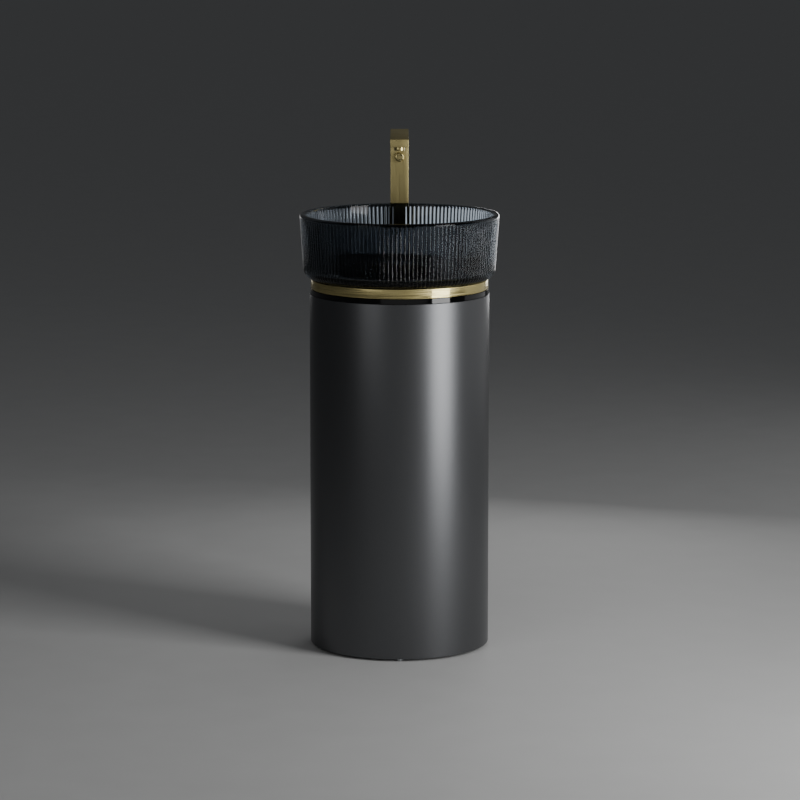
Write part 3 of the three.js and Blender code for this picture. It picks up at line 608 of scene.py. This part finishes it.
def top_plate():
    bm = bmesh.new()
    z = plate_low.z
    lower = bm.faces.new([bm.verts.new(AXIS + Vector((x * MM, y * MM, z))) for x, y in plate_outline()])
    pushed = bmesh.ops.extrude_face_region(bm, geom=[lower])
    for v in [g for g in pushed["geom"] if isinstance(g, bmesh.types.BMVert)]:
        v.co.z = plate_high.z
    rims = [e for e in bm.edges if abs(e.verts[0].co.z - e.verts[1].co.z) < 1e-7]
    bmesh.ops.bevel(bm, geom=rims, offset=0.6 * MM, segments=2, profile=0.5, affect="EDGES")
    piece = finished("black_plate", bm, "sink", ["top_plate"])
    holes = [round_tool(CENTRE_HOLE, *THROUGH, 96)]
    holes.append(round_tool(TAP_HOLE, *THROUGH, 32, AXIS + Vector((0, TAP_OFFSET * MM, 0))))
    for degrees in POST_ANGLES:
        turn = math.radians(degrees)
        spot = AXIS + Vector((POST_CIRCLE * math.cos(turn), POST_CIRCLE * math.sin(turn), 0)) * MM
        holes.append(round_tool(POST_HOLE, *THROUGH, 24, spot))
    return painted(carved(piece, *holes), BLACK_GLOSS)


top_plate()
print("plate", round((plate_high.z - plate_low.z) / MM, 1), "mm thick")

# %% [markdown]
# ### Collar and gasket
#
# The collar is a turned brass ring with its edges just broken, and the basin sits on it over a
# rubber ring. Both are plain sections spun on the lathe, each corner with its own small round.

# %% Collar and gasket
COLLAR_INNER, GASKET_INNER = 158, 162


def plain_ring(name, inside, replaced, inner_edge, outer_edge, sides):
    """A ring that fills its solid's box, with a fillet on its inner corners and one on its outer."""
    low, high = (corner / MM for corner in corners(replaced))
    section = [
        (inside, low.z, inner_edge),
        (high.x, low.z, outer_edge),
        (high.x, high.z, outer_edge),
        (inside, high.z, inner_edge),
    ]
    return turned(name, section, "sink", [replaced], sides)


collar = plain_ring("collar", COLLAR_INNER, "gold_collar", 0.5, 0.6, SMOOTH_SIDES)
painted(collar, GOLD_ROUND)
gasket = plain_ring("gasket", GASKET_INNER, "basin_gasket", 0.2, 0.2, 128)
painted(gasket, RUBBER)
print("collar", round(collar.dimensions.x / MM, 1), "mm across")

# %% [markdown]
# ### Fluted glass basin
#
# The mould gives the wall 144 convex reeds, about 9 mm from groove to groove at the rim. They run
# round the bottom corner, where they draw together, and stop just short of the lip, which is
# fire-polished round. The reeds could be a bump, but their edges show against the light and they
# bend what is seen through them, so each one is ten facets of real geometry. The inside is
# smooth, so light from behind comes through the back wall as one bright stripe to each reed.

# %% Fluted glass basin
glass_low, glass_high = corners("glass_basin")
rim_radius, rim_z, foot_z = glass_high.x / MM, glass_high.z / MM, glass_low.z / MM
REEDS = 144
FACETS = 10
FLANK = 42  # degrees that a reed's side leans at the groove
GLASS = 12.5
CORNER_RADIUS, CORNER_ROUND = 177.5, 20.0
INNER_ROUND = 14.0
FLOOR_Z, LAND_Z, DRAIN_HOLE = 779.0, 777.0, 23.0
LAND_RADIUS = 36
FLOOR_FALL = [(100, 778, 0), (40, 777.1, 0)]  # the floor falls a little to the drain
FOOT_FLAT = 160
WALL_ROWS = (805, 835, 865)
FADE_START, FADE_END = 4, 0.5  # mm under the lip where the reeds fade out
LIP = 5.0


def ease(value, start, end):
    """0 before start, 1 after end, smooth between."""
    t = min(max((value - start) / (end - start), 0), 1)
    return t * t * (3 - 2 * t)


def glass_outline():
    """(radius, height, share of a full reed) round the section, from the drain hole outwards."""
    rows = [(DRAIN_HOLE, foot_z, 0), (DRAIN_HOLE + 1, foot_z, 0), (FOOT_FLAT, foot_z, 0)]
    for r, z in arc(CORNER_RADIUS, foot_z + CORNER_ROUND, CORNER_ROUND, -90, 0, 12):
        rows.append((r, z, ease(r, CORNER_RADIUS + 1, CORNER_RADIUS + 9)))
    foot_r, foot_top = CORNER_RADIUS + CORNER_ROUND, foot_z + CORNER_ROUND
    lip_z = rim_z - LIP
    for z in (*WALL_ROWS, lip_z - FADE_START, lip_z - 2.5, lip_z - 1.5, lip_z - FADE_END):
        share = (z - foot_top) / (lip_z - foot_top)
        fade = 1 - ease(z, lip_z - FADE_START, lip_z - FADE_END)
        rows.append((foot_r + (rim_radius - foot_r) * share, z, fade))
    rows += [(r, z, 0) for r, z in arc(rim_radius - LIP, lip_z, LIP, 0, 90, 7)]
    rim_inner = rim_radius - GLASS
    rows += [(r, z, 0) for r, z in arc(rim_inner + LIP, lip_z, LIP, 90, 180, 7)]
    inner_r = foot_r - GLASS - INNER_ROUND
    rows += [(r, z, 0) for r, z in arc(inner_r, FLOOR_Z + INNER_ROUND, INNER_ROUND, 0, -90, 8)]
    rows += FLOOR_FALL
    rows += [(r, LAND_Z, 0) for r in (LAND_RADIUS, DRAIN_HOLE + 1, DRAIN_HOLE)]
    return rows


def glass_basin():
    bm = bmesh.new()
    rows = glass_outline()
    columns = REEDS * FACETS
    rings = []
    lean = math.radians(FLANK)
    for r, z, fullness in rows:
        ring = []
        reed_radius = math.pi * r / REEDS / math.sin(lean)
        for k in range(columns):
            across = 2 * (k % FACETS) / FACETS - 1
            angle = 2 * math.pi * (k - FACETS / 2) / columns
            sunk = reed_radius * (1 - math.sqrt(1 - (across * math.sin(lean)) ** 2))
            reach = (r - sunk * fullness) * MM
            place = Vector((reach * math.cos(angle), reach * math.sin(angle), z * MM))
            ring.append(bm.verts.new(AXIS + place))
        rings.append(ring)
    for i in range(len(rows)):
        a, b = rings[i], rings[(i + 1) % len(rows)]
        for k in range(columns):
            n = (k + 1) % columns
            bm.faces.new([a[k], a[n], b[n], b[k]])
    piece = finished("glass_vessel", bm, "sink", ["glass_basin"], sharp=40)
    return painted(piece, SMOKED_GLASS)


glass_basin()
print("basin:", REEDS, "reeds,", round(2 * math.pi * rim_radius / REEDS, 2), "mm apart at the rim")

# %% [markdown]
# ### Waste
#
# In the floor of the basin is a push-button waste: a turned flange, and a domed cap that stands
# 8 mm proud when open. Both are turned and plated, and polished smoother than the bars.

# %% Waste flange and plug
THROAT, BODY_RADIUS, FLANGE_RADIUS, CAP_RADIUS = 17.8, 20.9, 33, 31
flange_high = corners("drain_body")[1].z / MM
drain_end = corners("drain_body")[0].z / MM
flange = [
    (THROAT, drain_end, 0.3),
    (BODY_RADIUS, drain_end, 0.3),
    (BODY_RADIUS, flange_high - 3, 0),
    (FLANGE_RADIUS, flange_high - 3, 0.4),
    (FLANGE_RADIUS, flange_high - 0.9, 0.8),
    (FLANGE_RADIUS - 2.5, flange_high, 0.8),
    (24, flange_high, 1.2),
    (THROAT, flange_high - 2.2, 0.6),
]
painted(turned("waste_flange", flange, "sink", ["drain_body"], 96), GOLD_TURNED)

plug_low, plug_high = (c.z / MM for c in corners("drain_plug"))
CAP_HEIGHT, STEM = 6.4, 3
cap = plug_high - CAP_HEIGHT
dome = [
    (0, plug_low, 0),
    (STEM, plug_low, 0.4),
    (STEM, cap, 0),
    (CAP_RADIUS - 2, cap, 0.3),
    (CAP_RADIUS, cap + 1.6, 0.6),
    (CAP_RADIUS, cap + 3.4, 1.2),
    (CAP_RADIUS - 4, cap + 5.2, 3),
    (14, cap + 6.1, 4),
    (0, plug_high, 0),
]
painted(turned("waste_plug", dome, "plug", ["drain_plug"], 96), GOLD_TURNED)
print("flange", 2 * FLANGE_RADIUS, "mm across, cap", 2 * CAP_RADIUS, "mm")

# %% [markdown]
# ### Tap
#
# The tap is two lengths of flat bar brazed into an upside-down L, bored for the water and brushed
# along each bar. Its edges are sharp to the hand, broken by about half a millimetre. The joint
# shows only as a hair line under the spout.

# %% Pillar and spout
TUBE_WALL = 3
SHANK_RADIUS, SEAT_RADIUS, BORE_RADIUS = 9, 8.3, 8
pillar_low, pillar_high = corners("tap_pillar")
spout_low, spout_high = corners("tap_spout")
knob_low, knob_high = corners("control_knob")
knob_z = (knob_low.z + knob_high.z) / 2
tap_axis = Vector((0, (pillar_low.y + pillar_high.y) / 2, 0))


def tap_pillar():
    piece = finished("pillar", bar(pillar_low, pillar_high, 0.5), "sink", ["tap_pillar"])
    room_low = pillar_low + Vector((TUBE_WALL, TUBE_WALL, 8)) * MM
    room_high = pillar_high + Vector((-TUBE_WALL, -TUBE_WALL, 5)) * MM
    waterway = tool_from(bar(room_low, room_high, 0))
    foot = pillar_low.z / MM
    shank = round_tool(SHANK_RADIUS, foot - 5, foot + 12, 48, tap_axis)
    seat_centre = Vector((0, pillar_low.y, knob_z))
    cartridge = round_tool(SEAT_RADIUS, -5, 5, 48, seat_centre, "y")
    return painted(carved(piece, waterway, shank, cartridge), GOLD_UPRIGHT)


def tap_spout():
    piece = finished("spout", bar(spout_low, spout_high, 0.5), "sink", ["tap_spout"])
    outlet = Vector(corners("aerator_housing")[0] + corners("aerator_housing")[1]) / 2
    floor = spout_low.z / MM
    bore = round_tool(BORE_RADIUS, floor - 5, floor + 8, 48, Vector((0, outlet.y, 0)))
    return painted(carved(piece, bore), GOLD_FORWARD)


tap_pillar()
tap_spout()
print("spout reaches", round((spout_high.y - spout_low.y) / MM, 1), "mm")

# %% [markdown]
# ### Knob and aerator
#
# The knob is a turned button with a flat face and a well rounded edge. The aerator is a turned
# sleeve with a perforated disc in its mouth, which mixes air into the water. Each is a lathe
# outline, and the knob's axis lies level, so it is spun about y.

# %% Knob and aerator
SPINDLE = 3.3
SLEEVE, SLEEVE_BORE, THREAD, THREAD_BORE = 11, 9, 7.7, 6
SLEEVE_LENGTH = 7.7
knob_radius = (knob_high.x - knob_low.x) / 2 / MM
knob_length = (knob_high.y - knob_low.y) / MM
knob_back = Vector((0, knob_high.y, knob_z))
button = [
    (0, -6, 0),
    (SPINDLE, -6, 0),
    (SPINDLE, 0, 0),
    (knob_radius, 0, 0.3),
    (knob_radius, -knob_length + 0.4, 3.6),
    (4, -knob_length, 2),
    (0, -knob_length, 0),
]
painted(turned("knob", button, "knob", ["control_knob"], 64, knob_back, "y"), GOLD_TURNED)

outlet_low, outlet_high = corners("aerator_housing")
outlet_axis = Vector((0, (outlet_low.y + outlet_high.y) / 2, 0))
mouth, top = outlet_low.z / MM, outlet_high.z / MM
sleeve = [
    (SLEEVE_BORE, mouth, 0.3),
    (SLEEVE, mouth, 0.8),
    (SLEEVE, mouth + SLEEVE_LENGTH, 0.3),
    (THREAD, mouth + SLEEVE_LENGTH, 0),
    (THREAD, top, 0.3),
    (THREAD_BORE, top, 0.3),
    (THREAD_BORE, mouth + SLEEVE_LENGTH - 2, 0),
    (SLEEVE_BORE, mouth + SLEEVE_LENGTH - 2, 0),
]
aerator = turned("aerator_sleeve", sleeve, "sink", ["aerator_housing"], 64, outlet_axis)
painted(aerator, GOLD_TURNED)
print("knob", round(2 * knob_radius, 1), "mm across, aerator", 2 * SLEEVE, "mm")

# %% [markdown]
# ### Rear console
#
# A small box folded from 2.5 mm sheet sits under the tongue, where the hoses turn in. Its folds
# have the outside radius that a press brake leaves, about the thickness of the sheet.

# %% Rear console
SHEET = 2.5
FOLD_RADIUS, FOLD_STEPS = 2.2, 5
CONSOLE_FRONT = 160  # mm behind the axis, inside the column's wall until the wall is cut out
OVER_TOP = 6  # mm that the box stands over its top until the lid is cut off
CLEAR = 0.06  # metres past the console on each side, for a cut that goes right through
console_low, console_high = corners("tap_console")


def rear_console():
    low = Vector((console_low.x, AXIS.y + CONSOLE_FRONT * MM, console_low.z))
    high = Vector((console_high.x, console_high.y, console_high.z + OVER_TOP * MM))
    box = bar(low, high, FOLD_RADIUS, FOLD_STEPS)
    piece = finished("rear_console", box, "sink", ["tap_console"])
    thick = SHEET * MM
    room_low = low + Vector((thick, -0.02, thick))
    room_high = high + Vector((-thick, -thick, 0.01))
    room = tool_from(bar(room_low, room_high, 0))
    lid_low = Vector((-CLEAR, low.y - CLEAR, console_high.z))
    lid_high = Vector((CLEAR, high.y + CLEAR, high.z + CLEAR))
    lid = tool_from(bar(lid_low, lid_high, 0))
    bottom, top = console_low.z / MM - 5, console_high.z / MM + 15
    round_wall = round_tool(outer + 0.3, bottom, top, SMOOTH_SIDES)
    return painted(carved(piece, room, lid, round_wall), METALLIC_LACQUER)


rear_console()
print("console", round((console_high.x - console_low.x) / MM, 1), "mm wide")

# %% [markdown]
# ### Levelling feet
#
# Four screw feet carry the column and leave a shadow gap over the floor. They are small, but they
# show from low down, so each is turned again with more sides and softened edges.

# %% Levelling feet
FOOT_RADIUS, FOOT_THICKNESS, THREAD_RADIUS = 7, 4, 4
for side in ("front", "right", "back", "left"):
    low, high = corners(f"levelling_foot_{side}")
    middle = (low + high) / 2
    pad = [
        (0, 0, 0),
        (FOOT_RADIUS - 0.4, 0, 0.6),
        (FOOT_RADIUS, 0.9, 0.3),
        (FOOT_RADIUS, FOOT_THICKNESS, 0.8),
        (THREAD_RADIUS, FOOT_THICKNESS, 0),
        (THREAD_RADIUS, high.z / MM, 0.6),
        (0, high.z / MM, 0),
    ]
    place = Vector((middle.x, middle.y, 0))
    foot = turned(f"foot_{side}", pad, f"foot_{side}", [f"levelling_foot_{side}"], 32, place)
    painted(foot, ZINC)
print("feet", 2 * FOOT_RADIUS, "mm across")

# %% [markdown]
# ## Finishes for the solids that stay
#
# Apart from the two panel screws and the aerator's insert, everything else is hidden inside the
# column. Its solids already have the right shape, so each one only gets its finish, by the
# record's own list of which piece has which.

# %% Finishes by slot
FINISH_BY_SLOT = {
    "anthracite_metal": METALLIC_LACQUER,
    "black_gloss": BLACK_GLOSS,
    "brushed_gold": GOLD_TURNED,
    "smoked_glass": SMOKED_GLASS,
    "zinc_steel": ZINC,
    "chrome_plate": CHROME,
    "white_plastic": WHITE_PIPE,
    "black_rubber": RUBBER,
    "raw_brass": TURNED_BRASS,
    "red_lever": RED_LEVER,
    "blue_lever": BLUE_LEVER,
    "steel_braid": WIRE_BRAID,
}
for part in frame["record"]["subparts"]:
    solid = frame["nodes"][part["node"]]
    for held in solid.material_slots:
        held.material = FINISH_BY_SLOT[part["material_slot"]]

# %% [markdown]
# ## Studio
#
# A pale, plain floor under a dim grey world. The floor is a single square so wide that its far
# edge is a horizon, and its paint has a faint mottle about 100 mm across.

# %% Floor and world
floor_mesh = bpy.data.meshes.new("studio_floor")
FLOOR_REACH = 60
square = [(x * FLOOR_REACH, y * FLOOR_REACH, 0) for x, y in ((-1, -1), (1, -1), (1, 1), (-1, 1))]
floor_mesh.from_pydata(square, [], [(0, 1, 2, 3)])
floor = bpy.data.objects.new("studio_floor", floor_mesh)
bpy.context.scene.collection.objects.link(floor)


def pale_floor():
    material, tree, shader, place = new_material("pale_floor")
    speck = node(tree, "ShaderNodeTexNoise", {"Vector": place, "Scale": per(100), "Detail": 2.0}).outputs[0]
    pales = {0: speck, 6: linear("#c4c4c3"), 7: linear("#cbcbca")}
    matt = {"Value": speck, "To Min": 0.6, "To Max": 0.7}
    looks = {
        "Base Color": node(tree, "ShaderNodeMix", pales, data_type="RGBA").outputs[2],
        "Roughness": node(tree, "ShaderNodeMapRange", matt).outputs[0],
    }
    node(tree, shader, looks)
    return material


painted(floor, pale_floor())

world = bpy.data.worlds.new("studio")
bpy.context.scene.world = world
world.use_nodes = True
backing = world.node_tree.nodes["Background"]
node(world.node_tree, backing, {"Color": linear("#8d8f92"), "Strength": 0.22})
print("floor", 2 * FLOOR_REACH, "m across")

# %% [markdown]
# ### Soft boxes
#
# Shiny metal shows its surroundings more than itself, so each light is placed by what it draws on
# the round wall: a tall box to the right for the bright stripe, a weaker one to the left, a wide
# dim one far round to the right for the flank, and a low card in front for the even grey between.
# Two small strips behind shine through the back wall's reeds. No light shows itself to the
# camera. Radiance times pi times area gives the power that Blender asks for.

# %% Soft boxes
SOFT_BOXES = (
    # name, azimuth in degrees, distance, width, bottom and top in metres, radiance
    ("key_box", 53.5, 2.3, 1.0, 0.10, 2.5, 7.9),
    ("fill_box", -35, 2.6, 1.2, 0.68, 2.4, 1.15),
    ("far_right_box", 118, 3.0, 3.0, 0.10, 2.2, 0.42),
    ("low_front_card", 6, 4.5, 5.2, 0.05, 0.9, 0.24),
    ("rear_right_strip", 160, 1.6, 0.75, 0.54, 0.92, 3.7),
    ("rear_left_strip", -157, 1.6, 0.5, 0.57, 0.85, 0.8),
)


def soft_box(name, azimuth, distance, width, bottom, top, radiance):
    """An upright area light that faces the axis. Azimuth 0 is the front, positive to the right."""
    turn = math.radians(azimuth)
    light = bpy.data.lights.new(name, "AREA")
    light.shape = "RECTANGLE"
    light.size, light.size_y = width, top - bottom
    light.energy = radiance * math.pi * width * (top - bottom)
    lamp = bpy.data.objects.new(name, light)
    middle = Vector((0, 0, (bottom + top) / 2))
    lamp.location = AXIS + distance * Vector((math.sin(turn), -math.cos(turn), 0)) + middle
    lamp.rotation_euler = (math.pi / 2, 0, turn)
    lamp.visible_camera = False
    bpy.context.scene.collection.objects.link(lamp)


for settings in SOFT_BOXES:
    soft_box(*settings)
print("lights:", len(SOFT_BOXES))

# %% [markdown]
# The camera stands over seven metres away with a long lens, at a tall person's eye height, and
# looks down a little, so the basin's mouth shows as a narrow ellipse.

# %% Camera
CAMERA_DISTANCE, CAMERA_HEIGHT, CAMERA_PITCH = 7.266, 1.705, 9.327
FOCAL_LENGTH, SENSOR_WIDTH = 160.07, 36
SIDE_STEP = 1.1  # mm to the right of the axis
lens = bpy.data.cameras.new("studio_camera")
lens.lens = FOCAL_LENGTH
lens.sensor_width = SENSOR_WIDTH
camera = bpy.data.objects.new("studio_camera", lens)
camera.location = AXIS + Vector((SIDE_STEP * MM, -CAMERA_DISTANCE, CAMERA_HEIGHT))
camera.rotation_euler = (math.radians(90 - CAMERA_PITCH), 0, 0)
bpy.context.scene.collection.objects.link(camera)
bpy.context.scene.camera = camera
print("camera", CAMERA_DISTANCE, "m away,", CAMERA_HEIGHT, "m up")
